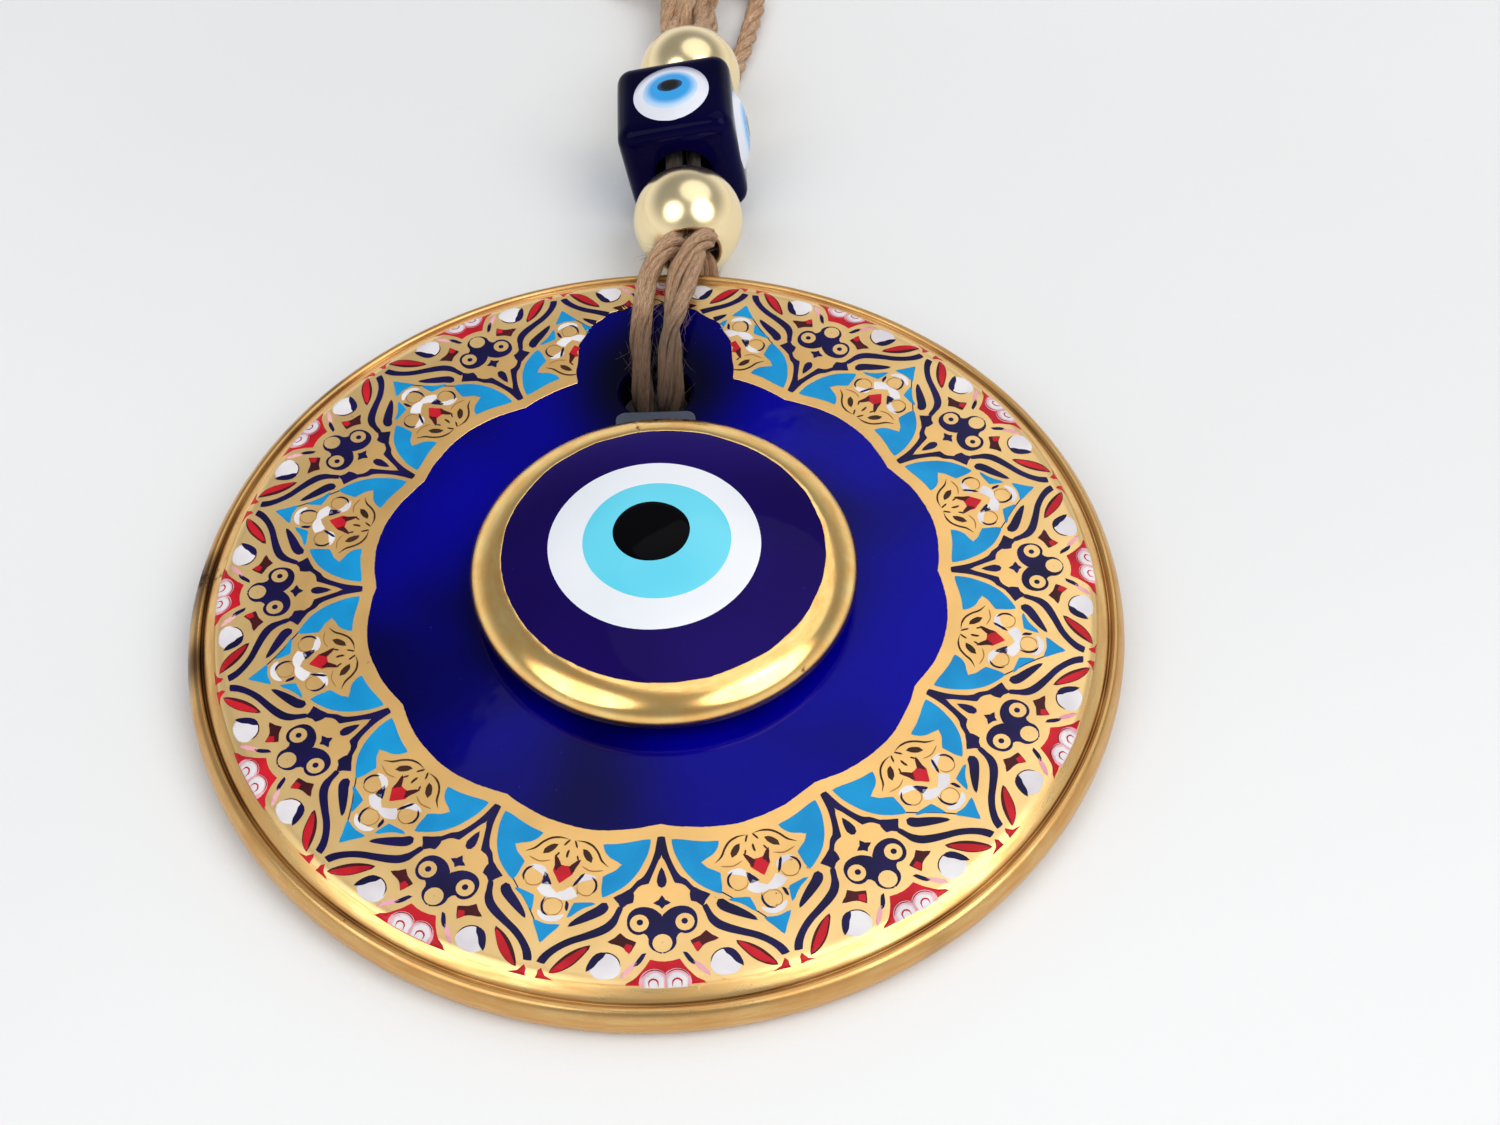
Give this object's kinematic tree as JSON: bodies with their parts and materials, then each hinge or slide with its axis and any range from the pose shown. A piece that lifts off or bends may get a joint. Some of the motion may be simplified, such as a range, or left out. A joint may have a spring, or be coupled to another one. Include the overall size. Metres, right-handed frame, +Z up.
{
  "type": "evil eye ornament",
  "caption": "Round gilt-edged cobalt glass disc with a patterned enamel border and a domed eye bead, hung on doubled jute with round gold beads and a glass cube bead.",
  "frame": {"origin": "centre of the disc's flat back", "axes": "+Z up from the table, +Y from the disc's centre towards the cord hole and the hanging loop; the disc's face leans 2.3 degrees towards -Y because its upper edge lies on the cord"},
  "size_m": [0.13, 0.3023, 0.0226],
  "materials": {
    "cobalt_glass": "polished, deep cobalt blue, see-through",
    "gilt_luster": "brushed-on gold luster with streaks and worn patches",
    "enamel_print": "fired enamel in navy, turquoise, red, white and pink with raised gold lines",
    "clear_pad": "clear soft pad, slightly cloudy",
    "navy_glass": "opaque navy glass, polished",
    "white_glass": "opaque white glass, polished",
    "sky_glass": "opaque light blue glass, polished",
    "blue_glass": "opaque blue glass, polished",
    "black_glass": "opaque black glass, polished",
    "bead_gold": "pale satin gold",
    "jute": "twisted two-ply jute, hairy"
  },
  "bodies": {
    "disc": {"glass_disc": "cobalt_glass", "rim_gilding": "gilt_luster", "border_print": "enamel_print", "mounting_pad": "clear_pad", "eye_body": "navy_glass", "eye_gilt_band": "gilt_luster", "eye_white": "white_glass", "eye_iris": "sky_glass", "eye_pupil": "black_glass", "front_strand_left": "jute", "front_strand_right": "jute", "rear_strand_left": "jute", "rear_strand_right": "jute"},
    "string": {"bead_core_cord": "jute", "neck_bundle": "jute", "top_knot": "jute", "tail_right": "jute", "tail_left": "jute"},
    "lower_bead": {"lower_gold_bead": "bead_gold"},
    "cube": {"cube_bead": "navy_glass", "cube_eye_top_white": "white_glass", "cube_eye_top_blue": "blue_glass", "cube_eye_top_black": "black_glass", "cube_eye_right_white": "white_glass", "cube_eye_right_blue": "blue_glass", "cube_eye_right_black": "black_glass", "cube_eye_under_white": "white_glass", "cube_eye_under_blue": "blue_glass", "cube_eye_under_black": "black_glass", "cube_eye_left_white": "white_glass", "cube_eye_left_blue": "blue_glass", "cube_eye_left_black": "black_glass"},
    "upper_bead": {"upper_gold_bead": "bead_gold"},
    "loop": {"hanging_loop": "jute"}
  },
  "joints": [
    {"name": "string_hinge", "type": "hinge", "parent": "disc", "child": "string", "pos_m": [0.0055, 0.0618, 0.0055], "axis": [1, 0, 0], "range_deg": [0, 90], "deforming": ["front_strand_left", "front_strand_right", "rear_strand_left", "rear_strand_right"]},
    {"name": "lower_bead_spin", "type": "hinge", "parent": "string", "child": "lower_bead", "pos_m": [0.0058, 0.0772, 0.00695], "axis": [0, 1, 0], "continuous": true},
    {"name": "cube_spin", "type": "hinge", "parent": "string", "child": "cube", "pos_m": [0.00526, 0.0988, 0.0088], "axis": [-0.0261, 0.998, 0.0576], "continuous": true},
    {"name": "upper_bead_spin", "type": "hinge", "parent": "string", "child": "upper_bead", "pos_m": [0.0069, 0.1195, 0.0074], "axis": [0.0682, 0.9758, -0.2079], "continuous": true},
    {"name": "loop_hinge", "type": "hinge", "parent": "string", "child": "loop", "pos_m": [0.0078, 0.172, 0.004], "axis": [1, 0, 0], "range_deg": [0, 120]}
  ]
}
